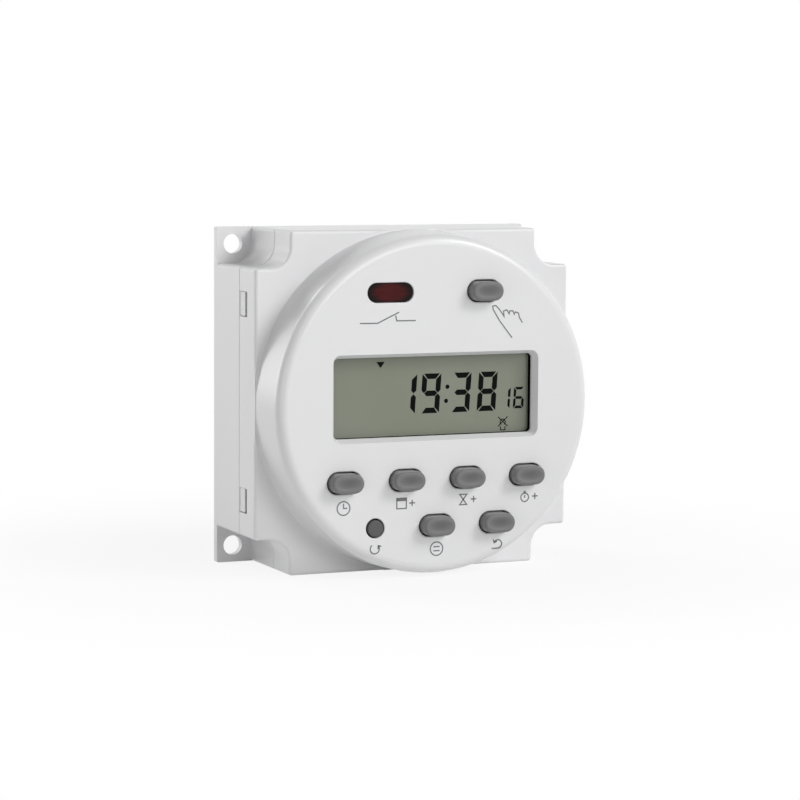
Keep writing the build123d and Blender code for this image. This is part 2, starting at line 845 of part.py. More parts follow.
def varistor():
    """Coated disc that stands on its two leads."""
    foot = power_board_front + varistor_gap
    disc = Cylinder(varistor_radius, varistor_thickness, rotation=(0, 90, 0))
    disc = fillet(disc.edges(), varistor_edge_round)
    body = Pos(varistor_x, varistor_y, foot + varistor_radius) * disc
    for x, y in lead_places(varistor_x, varistor_y):
        lead = slab(Circle(lead_radius), power_board_back - lead_end, foot + varistor_radius)
        body += Pos(x, y, 0) * lead
    return body


def power_board_nodes():
    """Mains board with the parts that it carries."""
    front = power_board_front
    capacitor_top = front + capacitor_height
    groove = front + filter_groove_height
    screws = [
        Pos(x, y, front) * Rot(180, 0, 0) * screw(power_screw_length) for x, y in power_boss_places
    ]
    film = RectangleRounded(film_capacitor_length, film_capacitor_width, film_capacitor_round)
    film = slab(film, front, capacitor_top)
    film = fillet(film.edges().group_by(Axis.Z)[-1], film_capacitor_round / 2)
    can = turned(
        [
            (0, front),
            (filter_capacitor_radius, front),
            (filter_capacitor_radius, groove - filter_groove_half),
            (filter_capacitor_radius - filter_capacitor_groove, groove),
            (filter_capacitor_radius, groove + filter_groove_half),
            (filter_capacitor_radius, capacitor_top),
            (0, capacitor_top),
        ],
        [((filter_capacitor_radius, capacitor_top), filter_capacitor_round)],
    )
    diode = Pos(0, 0, front) * extrude(
        Rectangle(diode_length, diode_width), amount=diode_height, taper=diode_taper
    )
    diode_places = [
        (diode_x + diode_pitch_x * i, diode_y - diode_pitch_y * j) for i in (0, 1) for j in (0, 1)
    ]
    resistor = slab(Rectangle(resistor_length, resistor_width), front, front + resistor_height)
    resistor_places = [
        (resistor_x + resistor_pitch_x * i, resistor_y - resistor_pitch_y * j)
        for i in (0, 1)
        for j in (0, 1)
    ]
    fuse = slab(Circle(fuse_radius), power_board_back - fuse_height, power_board_back)
    fuse = fillet(fuse.edges().group_by(Axis.Z)[0], fuse_round)
    return {
        "power_board": power_board(),
        "power_board_screws": screws,
        "film_capacitor": Pos(film_capacitor_x, film_capacitor_y, 0) * film,
        "filter_capacitor": Pos(filter_capacitor_x, filter_capacitor_y, 0) * can,
        "rectifier_diodes": at_each(diode_places, diode),
        "chip_resistors": at_each(resistor_places, resistor),
        "varistor": varistor(),
        "fuse": Pos(fuse_x, fuse_y, 0) * fuse,
        "terminal_blades": at_each(well_places, terminal_blade()),
    }


def relay_pin_places():
    """Coil pins on both long sides and the common pin by the armature."""
    return [
        (-relay_pin_x, relay_pin_y),
        (-relay_pin_x, -relay_pin_y),
        (relay_pin_x, -relay_pin_y),
    ]


def hinge_y():
    """Edge of the yoke that the armature rocks on."""
    return coil_axis_y - bobbin_flange_width / 2 - yoke_side_gap - iron_thickness + armature_overhang


def pole_face_x():
    return coil_end_x + pole_thickness


def bar_along_x(radius, start, end):
    """Round bar on the coil's axis."""
    bar = Cylinder(radius, end - start, rotation=(0, 90, 0))
    return Pos((start + end) / 2, coil_axis_y, coil_axis_height) * bar


def plate_across_x(start, end, y_low, y_high, z_low, z_high):
    """Flat plate given by its three ranges."""
    plate = Box(end - start, y_high - y_low, z_high - z_low)
    return Pos((start + end) / 2, (y_low + y_high) / 2, (z_low + z_high) / 2) * plate


def relay_bobbin():
    half = bobbin_flange_width / 2
    low_y = coil_axis_y - half
    high_y = coil_axis_y + half
    bobbin = bar_along_x(bobbin_tube_radius, coil_start_x, coil_end_x)
    for start in (coil_start_x, coil_end_x - bobbin_flange_thickness):
        end = start + bobbin_flange_thickness
        bobbin += plate_across_x(start, end, low_y, high_y, relay_base_thickness, bobbin_flange_top)
    return bobbin - bar_along_x(core_radius + relay_gap, coil_start_x, coil_end_x)


def relay_coil():
    start = coil_start_x + bobbin_flange_thickness
    end = coil_end_x - bobbin_flange_thickness
    return bar_along_x(coil_radius, start, end) - bar_along_x(bobbin_tube_radius + relay_gap, start, end)


def relay_core():
    start = coil_start_x - iron_thickness
    return bar_along_x(core_radius, start, coil_end_x) + bar_along_x(
        pole_radius, coil_end_x, pole_face_x()
    )


def relay_yoke():
    """Angle of soft iron: one leg behind the coil, one leg beside it up to the pole face."""
    back_x = coil_start_x - iron_thickness
    side_high = coil_axis_y - bobbin_flange_width / 2 - yoke_side_gap
    side_low = side_high - iron_thickness
    top_y = coil_axis_y + bobbin_flange_width / 2
    yoke = plate_across_x(back_x, coil_start_x, side_low, top_y, iron_low, iron_high)
    yoke += plate_across_x(back_x, pole_face_x(), side_low, side_high, iron_low, iron_high)
    return yoke - bar_along_x(core_radius + relay_gap, back_x, coil_start_x)


def swung_open(shape):
    """Turn a piece drawn with the relay pulled in to where it rests with the coil off."""
    pivot = Pos(pole_face_x(), hinge_y(), 0)
    back = Pos(-pole_face_x(), -hinge_y(), 0)
    return pivot * Rot(0, 0, -armature_swing) * back * shape


def relay_armature():
    start = pole_face_x() + armature_gap
    low_y = hinge_y() - armature_overhang
    high_y = contact_y - contact_radius - armature_tip_gap
    plate = plate_across_x(start, start + armature_thickness, low_y, high_y, iron_low, iron_high)
    return swung_open(plate)


def relay_moving_contact():
    """Springy strip on the armature with a silver button at its free end."""
    face = pole_face_x() + armature_gap + armature_thickness
    middle = coil_axis_height
    low = middle - contact_spring_width / 2
    high = middle + contact_spring_width / 2
    strip_low = contact_y - contact_radius - contact_spring_foot
    strip = plate_across_x(
        face, face + contact_spring_thickness, strip_low, contact_spring_tip, low, high
    )
    button = Cylinder(contact_radius, moving_button_height, rotation=(0, 90, 0))
    strip += Pos(face - moving_button_height / 2, contact_y, middle) * button
    return swung_open(strip)


def fixed_blade_x():
    """Left face of the fixed contact's blade, set back from the moving button's closed place."""
    closed_face = pole_face_x() + armature_gap + armature_thickness - moving_button_height
    return closed_face - armature_gap - fixed_button_height - fixed_blade_thickness


def fixed_blade_outline(grow=0.0):
    """Footprint of the fixed contact's blade."""
    size = Rectangle(fixed_blade_thickness + 2 * grow, fixed_blade_width + 2 * grow)
    return Pos(fixed_blade_x() + fixed_blade_thickness / 2, contact_y, 0) * size


def relay_fixed_contact():
    low = -power_board_thickness - relay_pin_end
    blade = slab(fixed_blade_outline(), low, fixed_blade_top)
    button = Cylinder(contact_radius, fixed_button_height, rotation=(0, 90, 0))
    button_x = fixed_blade_x() + fixed_blade_thickness + fixed_button_height / 2
    return blade + Pos(button_x, contact_y, coil_axis_height) * button


def relay_nodes():
    """Flat relay with its magnet and contact, drawn from the board's surface up."""
    inner_length = relay_length - 2 * relay_wall
    inner_width = relay_width - 2 * relay_wall
    shell = slab(RectangleRounded(relay_length, relay_width, relay_round), 0, relay_height)
    shell = fillet(shell.edges().group_by(Axis.Z)[-1], relay_round / 2)
    shell -= slab(Rectangle(inner_length, inner_width), 0, relay_height - relay_wall)
    floor = Rectangle(inner_length - 2 * relay_gap, inner_width - 2 * relay_gap)
    pin_size = relay_pin_size + 2 * relay_gap
    for x, y in relay_pin_places():
        floor -= Pos(x, y, 0) * Rectangle(pin_size, pin_size)
    floor -= fixed_blade_outline(relay_gap)
    pin_low = -power_board_thickness - relay_pin_end
    pin = slab(Rectangle(relay_pin_size, relay_pin_size), pin_low, relay_pin_top)
    nodes = {
        "relay_cover": shell,
        "relay_base": slab(floor, 0, relay_base_thickness),
        "relay_pins": at_each(relay_pin_places(), pin),
        "relay_bobbin": relay_bobbin(),
        "relay_coil": relay_coil(),
        "relay_core": relay_core(),
        "relay_yoke": relay_yoke(),
        "relay_armature": relay_armature(),
        "relay_moving_contact": relay_moving_contact(),
        "relay_fixed_contact": relay_fixed_contact(),
    }
    place = Pos(relay_x, relay_y, power_board_front)
    return {name: moved(shape, place) for name, shape in nodes.items()}


def stand_up(shape):
    """Turn a piece drawn face up so that its face looks along -Y and its top points along +Z."""
    pieces = shape if isinstance(shape, list) else [shape]
    solids = [solid for piece in pieces for solid in piece.solids()]
    upright = [Plane.XZ.location * solid for solid in solids]
    return upright[0] if len(upright) == 1 else Compound(children=upright)


def write_parts():
    nodes = {
        "front_cover": front_cover(),
        "rear_case": rear_case(),
        **display_nodes(),
        **indicator_nodes(),
        **keypad(),
        **display_board_nodes(),
        **link_nodes(),
        **power_board_nodes(),
        **relay_nodes(),
    }
    os.makedirs("parts", exist_ok=True)
    for name, shape in nodes.items():
        export_step(stand_up(shape), f"parts/{name}.step")


write_parts()
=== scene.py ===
import json
import math

import bpy
import numpy as np
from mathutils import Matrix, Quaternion, Vector

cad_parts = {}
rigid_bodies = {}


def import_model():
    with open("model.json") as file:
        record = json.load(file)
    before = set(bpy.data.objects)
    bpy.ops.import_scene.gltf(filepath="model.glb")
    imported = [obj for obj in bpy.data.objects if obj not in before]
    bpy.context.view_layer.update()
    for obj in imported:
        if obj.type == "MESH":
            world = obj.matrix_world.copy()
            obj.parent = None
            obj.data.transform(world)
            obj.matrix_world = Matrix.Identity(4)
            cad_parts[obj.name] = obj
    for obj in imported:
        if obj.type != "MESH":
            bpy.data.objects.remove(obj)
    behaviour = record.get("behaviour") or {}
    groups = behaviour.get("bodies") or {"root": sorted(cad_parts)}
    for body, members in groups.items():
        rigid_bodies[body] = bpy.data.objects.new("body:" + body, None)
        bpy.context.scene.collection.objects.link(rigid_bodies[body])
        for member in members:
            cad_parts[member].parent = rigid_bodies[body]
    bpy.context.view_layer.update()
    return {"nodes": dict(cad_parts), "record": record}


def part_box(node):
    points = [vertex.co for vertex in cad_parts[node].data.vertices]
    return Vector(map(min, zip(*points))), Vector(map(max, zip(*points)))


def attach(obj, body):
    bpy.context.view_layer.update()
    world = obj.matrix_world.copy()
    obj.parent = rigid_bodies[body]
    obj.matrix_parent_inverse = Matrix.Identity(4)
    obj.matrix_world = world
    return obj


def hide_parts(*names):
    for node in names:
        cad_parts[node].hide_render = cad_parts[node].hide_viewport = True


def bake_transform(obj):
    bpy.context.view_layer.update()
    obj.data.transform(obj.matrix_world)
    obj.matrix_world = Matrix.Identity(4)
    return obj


# Digital timer switch: its finishes, its display and printed marks, the soft webs under its keys,
# the light and the camera. Lengths are metres in the part's own frame: x to the viewer's right,
# z up the face, and the face looks along -y. Marks are drawn flat, as x and z in millimetres from
# the middle of the face.
mm = 0.001

for leftover in list(bpy.data.objects):
    bpy.data.objects.remove(leftover)
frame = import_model()

# From the frame: the surfaces that carry marks, the tops of the keys, and what the part stands on
face_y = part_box("front_cover")[0].y
film_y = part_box("display_front_polariser")[0].y
key_top_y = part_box("clock_key")[0].y
floor_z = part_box("front_cover")[0].z

# Thickness of the print and of the painted display shadow, and the distance within which vertices
# merge
plate_thickness = 0.012 * mm
weld_distance = 0.0005 * mm

# Camera, solved from corners of the housing in the photograph. Its angles are in degrees, its lens
# and sensor in millimetres.
camera_yaw = 23.93
camera_pitch = 5.64
camera_roll = 0.38
camera_distance = 522.0 * mm
camera_target = (6.29 * mm, 0.0, -2.15 * mm)
camera_lens = 127.96
camera_sensor = 36.0
camera_clip = 0.01

# Lamps: place, width, and power in watts. The main one is up on the right, one is in front, a weak
# one is on the left, and two behind on the left glance along the side of the bezel.
lamps = {
    "key_lamp": ((1.164, -1.124, 1.176), 0.8, 18.2),
    "front_lamp": ((0.5, -1.866, 0.518), 0.8, 9.2),
    "left_lamp": ((-0.863, -0.498, 0.087), 0.3, 0.7),
    "low_back_lamp": ((-0.659, 0.732, 0.174), 0.45, 2.3),
    "high_back_lamp": ((-0.41, 0.709, 0.574), 0.35, 2.2),
}
surrounding_light = 0.23

# Floor: half its side, the share of plain white in it near the object, and the distances from its
# middle between which that share rises to all of it
floor_half = 3.0
white_near = 0.85
fade_start = 0.03
fade_end = 0.12

# Digits of the display: the middle of each one's cell, size, stroke, gaps and slant
digit_centres = {-4.62: "1", -0.01: "9", 5.79: "3", 10.86: "8"}
digit_low = -1.68
digit_high = 5.24
digit_width = 3.62
digit_stroke = 0.95
digit_gap = 0.075
digit_slant = 0.065
seconds_centres = {14.34: "1", 17.02: "6"}
seconds_low = -1.42
seconds_high = 2.36
seconds_width = 2.05
seconds_stroke = 0.47

# Other marks of the display, and the painted shadow round its opening: a black band on the film
colon_dots = [(3.17, 2.83), (2.93, 0.36)]
colon_radius = 0.38
pointer_place = (-9.57, 7.02)
lamp_place = (13.95, -3.75)
thin_line = 0.17
window_centre = (0.0, 1.45)
window_half = (18.85, 6.95)
window_round = 0.8
shadow_lap = 0.05
shadow_width = 1.2

# Printed marks of the face: their sizes, and where each stands. Under the day, hour and minute keys
# a sign and a plus stand side by side.
line_width = 0.22
bold_line = 0.4
icon_radius = 1.18
sign_height = 1.8
plus_reach = 0.55
barb_length = 0.6
sign_beside = (-0.95, 0)
plus_beside = (1.05, 0)
pair_places = {"day": (-5.65, -16.87), "hour": (6.10, -16.74), "minute": (18.05, -16.79)}
clock_place = (-17.47, -17.22)
reset_place = (-11.59, -24.54)
program_place = (0.10, -25.13)
recall_place = (11.94, -24.94)
hand_place = (13.0, 14.6)

# Webs under the keys: how far each stands out from its key's flange at its foot and at its top
web_foot = 0.4 * mm
web_top = -0.35 * mm
web_thickness = 0.35 * mm
web_levels = 9
web_points = 48

# Finger hollow in each key's top: its depth, and how squarely a surface faces the viewer where the
# painted shade in it begins and where it is full
hollow_depth = 0.26 * mm
painted_shade_begins = 0.9
painted_shade_full = 0.97

# Middle of the lens, which light comes back from: half its width and height, and the shares of them
# between which it goes over to the rim of painted shade
lens_core = (4.2 * mm, 2.0 * mm)
core_end = 0.55
rim_start = 0.95


def linear(colour):
    """Linear colour of an sRGB hex value."""
    values = np.array([int(colour[i : i + 2], 16) for i in (0, 2, 4)]) / 255
    curve = np.where(values <= 0.04045, values / 12.92, ((values + 0.055) / 1.055) ** 2.4)
    return (*curve.tolist(), 1.0)


def add_node(tree, kind, settings=(), links=()):
    """Add one node to a tree, set its properties and inputs, and link sockets into its inputs."""
    node = tree.nodes.new(kind)
    for name, value in dict(settings).items():
        if isinstance(name, int) or name in node.inputs:
            node.inputs[name].default_value = value
        else:
            setattr(node, name, value)
    for name, socket in dict(links).items():
        tree.links.new(socket, node.inputs[name])
    return node


def shader_of(made):
    """The shader of a material."""
    return made.node_tree.nodes["Principled BSDF"]


def new_material(name, colour, roughness, **sockets):
    """Material with one colour and roughness. Other inputs are given in words joined by _."""
    made = bpy.data.materials.new(name)
    made.use_nodes = True
    inputs = shader_of(made).inputs
    inputs["Base Color"].default_value = linear(colour)
    inputs["Roughness"].default_value = roughness
    for words, value in sockets.items():
        title = words.replace("_", " ").title().replace("Ior", "IOR")
        inputs[title].default_value = value
    return made


def pattern(made, size, stretch):
    """Noise over the object's own coordinates: blotches of one size, drawn out by stretch."""
    tree = made.node_tree
    place = add_node(tree, "ShaderNodeTexCoord")
    spread = [1 / factor for factor in stretch]
    drawn = add_node(
        tree, "ShaderNodeMapping", {"Scale": spread}, {"Vector": place.outputs["Object"]}
    )
    settings = {"Scale": 1 / size, "Detail": 2.0}
    return add_node(tree, "ShaderNodeTexNoise", settings, {"Vector": drawn.outputs["Vector"]})


def add_relief(made, size, depth, stretch=(1.0, 1.0, 1.0)):
    """Fine relief of grains of one size and depth."""
    noise = pattern(made, size, stretch)
    bump = add_node(
        made.node_tree, "ShaderNodeBump", {"Distance": depth}, {"Height": noise.outputs["Fac"]}
    )
    made.node_tree.links.new(bump.outputs["Normal"], shader_of(made).inputs["Normal"])
    return made


def blend(made, factor, first, second):
    """Base colour that goes from the first to the second as the factor rises from 0 to 1. Each is
    a colour or a socket that gives one."""
    tree = made.node_tree
    mix = add_node(tree, "ShaderNodeMix", {"data_type": "RGBA"}, {"Factor": factor})
    ends = [socket for socket in mix.inputs if socket.type == "RGBA"]
    for socket, colour in zip(ends, (first, second)):
        if isinstance(colour, tuple):
            socket.default_value = colour
        else:
            tree.links.new(colour, socket)
    result = [socket for socket in mix.outputs if socket.type == "RGBA"][0]
    tree.links.new(result, shader_of(made).inputs["Base Color"])
    return made


def add_shades(made, size, dark, light, stretch=(1.0, 1.0, 1.0)):
    """Slow drift of the colour between two shades."""
    noise = pattern(made, size, stretch)
    return blend(made, noise.outputs["Fac"], linear(dark), linear(light))


def satin_abs():
    # White ABS moulded in a fine spark-eroded tool: soft broad highlights on a pale grey white.
    # The real grain is 0.05 mm; it is drawn at 0.25 mm so that it shows at all.
    made = new_material("satin_abs", "e5e5e6", 0.30, ior=1.54)
    return add_relief(made, 0.25 * mm, 0.0015 * mm)


def grey_silicone():
    # Moulded silicone rubber: matt mid grey with a faint sheen. Painted shade darkens the hollow
    # where it faces straight out, and painted light lightens the hollow's rim and the rounded
    # sides.
    made = new_material(
        "grey_silicone", "6c6c6c", 0.58, ior=1.41, sheen_weight=0.35, sheen_roughness=0.4
    )
    tree = made.node_tree
    coordinates = add_node(tree, "ShaderNodeTexCoord")
    place = add_node(tree, "ShaderNodeSeparateXYZ", {}, {0: coordinates.outputs["Object"]})
    facing = add_node(tree, "ShaderNodeSeparateXYZ", {}, {0: coordinates.outputs["Normal"]})
    depth = add_node(
        tree,
        "ShaderNodeMapRange",
        {"From Min": key_top_y, "From Max": key_top_y + hollow_depth},
        {"Value": place.outputs["Y"]},
    )
    level = add_node(
        tree,
        "ShaderNodeMapRange",
        {"From Min": -painted_shade_begins, "From Max": -painted_shade_full},
        {"Value": facing.outputs["Y"]},
    )
    painted_hollow_shade = add_node(
        tree,
        "ShaderNodeMath",
        {"operation": "MULTIPLY"},
        {0: depth.outputs["Result"], 1: level.outputs["Result"]},
    )
    # Painted shade and light: 616161 in the middle of the hollow, 767676 on its rim and on the
    # sides
    blend(made, painted_hollow_shade.outputs["Value"], linear("767676"), linear("616161"))
    return add_relief(made, 0.2 * mm, 0.002 * mm)


def display_film():
    # Polarising film over a grey-green liquid crystal cell: even tone under a smooth hard coat.
    made = new_material("display_film", "7f8473", 0.18, ior=1.49)
    return add_shades(made, 14 * mm, "7a7f6e", "858a7d")


def segment_and_shadow_black():
    # Switched-on segments and the painted shadow round the display's opening, seen through the
    # film: nearly black, hardly any gloss.
    return new_material("segments_and_painted_shadow", "070807", 0.3, ior=1.49, specular_ior_level=0.05)


def printing_ink():
    # Pad-printed grey enamel ink: flat, a little duller than the plastic round it.
    return new_material("pad_printing_ink", "6f6f70", 0.5, ior=1.5)


def red_acrylic():
    # Deep red acrylic with fine ribs across its back: dark red with faint level streaks in the
    # middle; painted shade turns it nearly black towards the rim, where no light comes back from
    # inside.
    made = new_material("red_acrylic", "4a1416", 0.16, ior=1.49, specular_ior_level=0.15)
    add_shades(made, 0.5 * mm, "2a0708", "561415", (6.0, 1.0, 0.6))
    streaks = shader_of(made).inputs["Base Color"].links[0].from_socket
    tree = made.node_tree
    low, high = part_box("indicator_lens")
    place = add_node(tree, "ShaderNodeTexCoord")
    centred = add_node(
        tree,
        "ShaderNodeVectorMath",
        {"operation": "ADD", 1: -(low + high) / 2},
        {0: place.outputs["Object"]},
    )
    squeezed = add_node(
        tree,
        "ShaderNodeVectorMath",
        {"operation": "MULTIPLY", 1: (1 / lens_core[0], 0.0, 1 / lens_core[1])},
        {0: centred.outputs["Vector"]},
    )
    reach = add_node(
        tree, "ShaderNodeVectorMath", {"operation": "LENGTH"}, {0: squeezed.outputs["Vector"]}
    )
    # Painted shade: the colour goes over to nearly black 14090a towards the lens's rim
    rim = add_node(
        tree,
        "ShaderNodeMapRange",
        {"interpolation_type": "SMOOTHSTEP", "From Min": core_end, "From Max": rim_start},
        {"Value": reach.outputs["Value"]},
    )
    return blend(made, rim.outputs["Result"], streaks, linear("14090a"))


def solder_resist():
    # Green lacquer over a glass-epoxy board: glossy, with the weave barely showing.
    made = new_material("green_solder_resist", "1c5a36", 0.28, ior=1.52)
    return add_relief(made, 0.5 * mm, 0.003 * mm)


def tinned_brass():
    # Brass strip, hot tinned and stamped: pale warm metal with fine drawing lines along it.
    made = new_material("tinned_brass", "cfc9b8", 0.30, metallic=1.0)
    return add_relief(made, 0.15 * mm, 0.002 * mm, (1.0, 12.0, 1.0))


def zinc_plated_iron():
    # Zinc-plated soft iron with a blanked grain: duller and greyer than nickel.
    made = new_material("zinc_plated_iron", "9b9da0", 0.42, metallic=1.0)
    return add_relief(made, 0.3 * mm, 0.003 * mm)


def copper_wire():
    # Enamelled copper wire wound in even turns 0.2 mm apart: reddish with fine rings.
    made = new_material("enamelled_copper", "a85a32", 0.30, metallic=0.85)
    return add_relief(made, 0.2 * mm, 0.02 * mm, (1.0, 30.0, 30.0))


def coated_ceramic():
    # Dipped ceramic disc: blue epoxy powder coat with a slight orange peel.
    made = new_material("blue_epoxy_coat", "2f5f9b", 0.35, ior=1.55)
    return add_relief(made, 0.6 * mm, 0.02 * mm)


# What each material slot of the part is finished with. Those with a comment here have no pattern.
finishes = {
    "housing_plastic": satin_abs(),
    "polariser_film": display_film(),
    "lens_plastic": red_acrylic(),
    "key_silicone": grey_silicone(),
    "board_laminate": solder_resist(),
    "blade_brass": tinned_brass(),
    # Bright nickel on steel: a clean mirror a little blurred by the barrel plating
    "bright_steel": new_material("nickel_plated_steel", "c4c2bd", 0.22, metallic=1.0),
    "soft_iron": zinc_plated_iron(),
    "copper_winding": copper_wire(),
    "varistor_coating": coated_ceramic(),
    # Thin float glass: clear, only its rim shows green
    "display_glass": new_material(
        "float_glass", "dfe8e2", 0.05, ior=1.52, transmission_weight=0.9
    ),
    # Aluminised polyester behind the cell: silvery and slightly rough
    "reflector_film": new_material("silvered_film", "b4b8ac", 0.30, metallic=0.6),
    # Unfilled white polycarbonate frame
    "holder_plastic": new_material("white_polycarbonate", "d2d2d0", 0.38, ior=1.58),
    # Silicone with carbon layers finer than the eye parts: dull pink grey
    "strip_rubber": new_material("zebra_rubber", "a78489", 0.62, ior=1.41),
    # Tinted epoxy dome of the lamp: glossy, light passes into it
    "lamp_epoxy": new_material(
        "red_lamp_epoxy", "b52a26", 0.15, ior=1.53, transmission_weight=0.3
    ),
    # The reset button's silicone: the keys' rubber with more pigment
    "reset_silicone": new_material("dark_grey_silicone", "565656", 0.58, ior=1.41),
    # Carbon-filled silicone: matt black
    "carbon_rubber": new_material("carbon_silicone", "1d1d1e", 0.70, ior=1.45),
    # Poured and cured black epoxy: a glossy dome
    "black_epoxy": new_material("cast_black_epoxy", "161617", 0.25, ior=1.55),
    # Thin gold flash over brass
    "pin_gold": new_material("gold_flashed_brass", "dcb25c", 0.20, metallic=1.0),
    # Glass-filled black nylon: slightly grey skin
    "link_plastic": new_material("black_glass_nylon", "202021", 0.45, ior=1.53),
    # Moulded yellow polypropylene box
    "capacitor_box": new_material("yellow_polypropylene", "d8ae3a", 0.40, ior=1.49),
    # Shrunk vinyl sleeve: dark blue, tight and glossy
    "capacitor_sleeve": new_material("vinyl_sleeve", "1b2348", 0.25, ior=1.53),
    # Glazed alumina chip with a dark top
    "resistor_ceramic": new_material("glazed_alumina", "2b2b2e", 0.30, ior=1.76),
    # Brown phenolic cap
    "fuse_plastic": new_material("phenolic_cap", "3a2a22", 0.40, ior=1.60),
    # Black polyester relay housing
    "relay_plastic": new_material("black_polyester", "19191b", 0.32, ior=1.57),
    # Natural nylon bobbin: milky
    "bobbin_plastic": new_material("natural_nylon", "d0cbbd", 0.42, ior=1.53),
    # Phosphor bronze strip
    "contact_bronze": new_material("phosphor_bronze", "c9955e", 0.26, metallic=1.0),
}

for part in frame["record"]["subparts"]:
    node = frame["nodes"][part["node"]]
    node.data.materials.clear()
    node.data.materials.append(finishes[part["material_slot"]])


def moved(centre, path):
    """Path drawn about the origin, moved to its place."""
    return np.array(centre) + np.asarray(path, float)


def arc(centre, radius, start, end, count=48):
    """Points of an arc between two angles in degrees: centre plus radius times (cosine, sine)."""
    angles = np.radians(np.linspace(start, end, count))
    return moved(centre, radius * np.stack([np.cos(angles), np.sin(angles)], axis=1))


def circle(centre, radius, count=48):
    """Points of a whole circle, without a second one at its start."""
    return arc(centre, radius, 0, 360, count + 1)[:-1]


def edges_of_line(path, width, closed=False):
    """Both edges of a drawn line. Each point moves half the width along the mean of its two
    segments' normals, divided by the cosine of half the turn, so the width holds at corners."""
    path = np.asarray(path, float)
    steps = np.diff(np.vstack([path, path[:1]]) if closed else path, axis=0)
    normals = np.stack([-steps[:, 1], steps[:, 0]], axis=1)
    normals /= np.linalg.norm(normals, axis=1, keepdims=True)
    before = np.roll(normals, 1, axis=0) if closed else np.vstack([normals[:1], normals])
    after = normals if closed else np.vstack([normals, normals[-1:]])
    both = before + after
    offset = width * both / np.sum(both * both, axis=1, keepdims=True)
    return path + offset, path - offset


def plate(one_edge, other_edge, back_y, closed=False):
    """Thin plate between two edge lines. Its vertices are a grid of depth, edge and point along the
    line; its faces join neighbours of that grid, with ends unless the lines are closed. The edges
    change places where the area between them would come out negative, so the faces look outward."""
    one = np.asarray(one_edge, float)
    other = np.asarray(other_edge, float)
    across = (other - one)[:-1]
    along = np.diff(one + other, axis=0)
    if np.sum(across[:, 0] * along[:, 1] - across[:, 1] * along[:, 0]) < 0:
        one, other = other, one
    edges = np.stack([one, other]) * mm
    count = edges.shape[1]
    depths = np.array([back_y, back_y - plate_thickness])
    flat = np.broadcast_to(edges, (2, *edges.shape))
    depth = np.broadcast_to(depths[:, None, None], flat.shape[:3])
    points = np.stack([flat[..., 0], depth, flat[..., 1]], axis=-1).reshape(-1, 3)
    here = np.arange(count if closed else count - 1)
    there = (here + 1) % count
    # First vertex of each row, in the order that goes round the plate's section: the back of the
    # first edge, its front, the front of the other edge, its back
    rows = np.array([0, 2, 3, 1]) * count
    faces = [
        np.stack([low + here, high + here, high + there, low + there], axis=1)
        for low, high in zip(rows, np.roll(rows, -1))
    ]
    if not closed:
        faces.append(np.stack([rows[::-1], rows + count - 1]))
    return points, np.vstack(faces)


def line(path, width=line_width, back_y=face_y, closed=False):
    """Printed line along a path."""
    return plate(*edges_of_line(path, width, closed), back_y, closed)


def add_mesh(name, points, faces, material):
    """One object with its place in its mesh."""
    mesh = bpy.data.meshes.new(name)
    mesh.from_pydata(points.tolist(), [], faces.tolist())
    mesh.validate()
    mesh.materials.append(material)
    made = bpy.data.objects.new(name, mesh)
    bpy.context.scene.collection.objects.link(made)
    return made


def plates_on_housing(name, plates, material):
    """One object of several thin plates that rides on the housing: print, or the painted display
    shadow.
    """
    starts = np.cumsum([0] + [len(points) for points, faces in plates[:-1]])
    points = np.vstack([points for points, faces in plates])
    faces = np.vstack([faces + start for (_, faces), start in zip(plates, starts)])
    made = add_mesh(name, points, faces, material)
    weld = made.modifiers.new("weld", "WELD")
    weld.merge_threshold = weld_distance
    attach(made, "housing")


# Which of the seven segments each digit lights
lit = {
    "1": ["upper right", "lower right"],
    "3": ["top", "middle", "bottom", "upper right", "lower right"],
    "6": ["top", "middle", "bottom", "upper left", "lower left", "lower right"],
    "8": ["top", "middle", "bottom", "upper left", "lower left", "upper right", "lower right"],
    "9": ["top", "middle", "bottom", "upper left", "upper right", "lower right"],
}


def digit_segments(width, low, high, stroke, gap):
    """Edge lines of the seven segments of one digit about x = 0, each mitred at its ends."""
    side = width / 2
    middle = (low + high) / 2
    half = stroke / 2

    def level(z, inward):
        """Bar along x: its outer edge is the longer one, and both ends slope."""
        outer_x = side - gap - half / 2
        inner_x = side - gap - stroke
        inner_z = z + inward * stroke
        return [(-outer_x, z), (outer_x, z)], [(-inner_x, inner_z), (inner_x, inner_z)]

    def upright(sign, end, way):
        """Bar along z from the middle to one end, with its outer edge at the digit's side."""
        tip = (sign * (side - half), middle + way * gap)
        shoulder = middle + way * (gap + half)
        outer = [tip, (sign * side, shoulder), (sign * side, end - way * gap)]
        inner_x = sign * (side - stroke)
        inner = [tip, (inner_x, shoulder), (inner_x, end - way * (gap + stroke))]
        return outer, inner

    def middle_edge(way):
        """Upper or lower edge of the bar along x in the middle, pointed at both ends."""
        tip = side - gap - half
        z = middle + way * half
        return [(-tip, middle), (half - tip, z), (tip - half, z), (tip, middle)]

    return {
        "top": level(high, -1),
        "middle": (middle_edge(1), middle_edge(-1)),
        "bottom": level(low, 1),
        "upper left": upright(-1, high, 1),
        "upper right": upright(1, high, 1),
        "lower left": upright(-1, low, -1),
        "lower right": upright(1, low, -1),
    }


def digit(character, centre, width, low, high, stroke):
    """Plates of one lit digit, leaning to the right by the display's slant."""
    segments = digit_segments(width, low, high, stroke, digit_gap)
    middle = (low + high) / 2
    plates = []
    for name in lit[character]:
        edges = [np.array(edge, float) for edge in segments[name]]
        for edge in edges:
            edge[:, 0] += centre + digit_slant * (edge[:, 1] - middle)
        plates.append(plate(*edges, film_y))
    return plates


